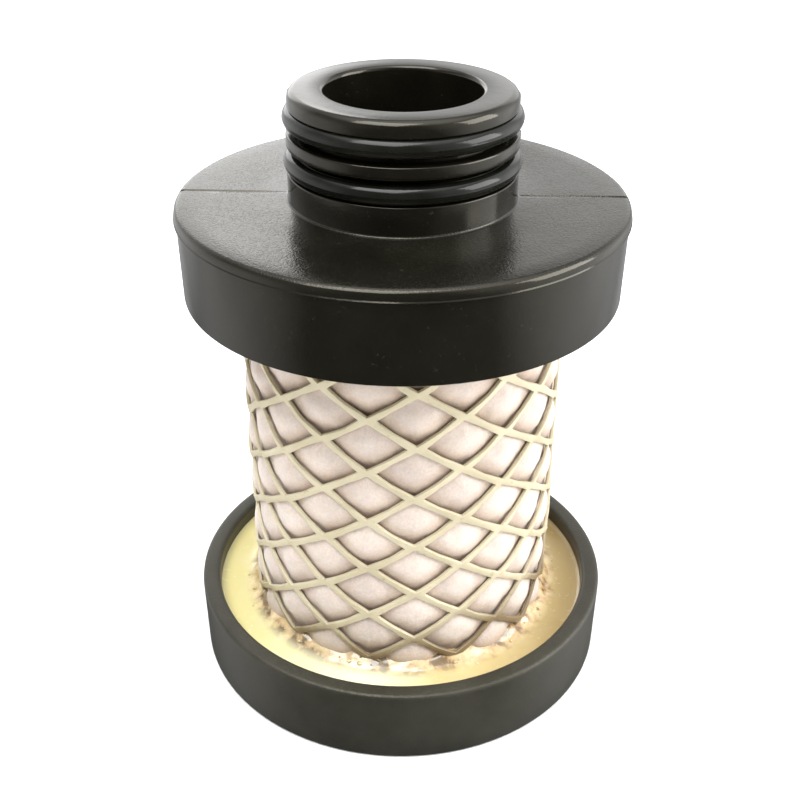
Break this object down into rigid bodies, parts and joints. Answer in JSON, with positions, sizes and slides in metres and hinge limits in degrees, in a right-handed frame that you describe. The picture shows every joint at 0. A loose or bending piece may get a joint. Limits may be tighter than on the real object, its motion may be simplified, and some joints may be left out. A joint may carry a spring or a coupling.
{
  "type": "pneumatic silencer cartridge",
  "caption": "Potted exhaust silencer and filter cartridge for compressed air: O-ring neck, moulded end caps, felt sock and expanded-metal guard.",
  "frame": {"origin": "centre of the lower cap's underside", "axes": "+Z along the cartridge's axis, up out of the neck"},
  "size_m": [0.0652, 0.0652, 0.0907],
  "materials": {
    "moulded_nylon": "satin black moulded nylon with a fine grain",
    "seal_rubber": "smooth black nitrile rubber, lightly greased",
    "potting_resin": "glossy amber cast resin",
    "guard_metal": "satin cream coating on expanded steel",
    "felt": "soft needled felt",
    "scrim": "thin open-weave cloth",
    "glass_fibre": "soft white glass-fibre wrap",
    "core_metal": "plain perforated zinc-plated steel"
  },
  "bodies": {
    "root": {"upper_end_cap": "moulded_nylon", "lower_end_cap": "moulded_nylon", "upper_o_ring": "seal_rubber", "lower_o_ring": "seal_rubber", "upper_potting": "potting_resin", "lower_potting": "potting_resin", "outer_guard": "guard_metal", "felt_sock": "felt", "outer_scrim": "scrim", "media_wrap": "glass_fibre", "prefilter_wrap": "glass_fibre", "inner_scrim": "scrim", "inner_core": "core_metal"}
  },
  "joints": []
}
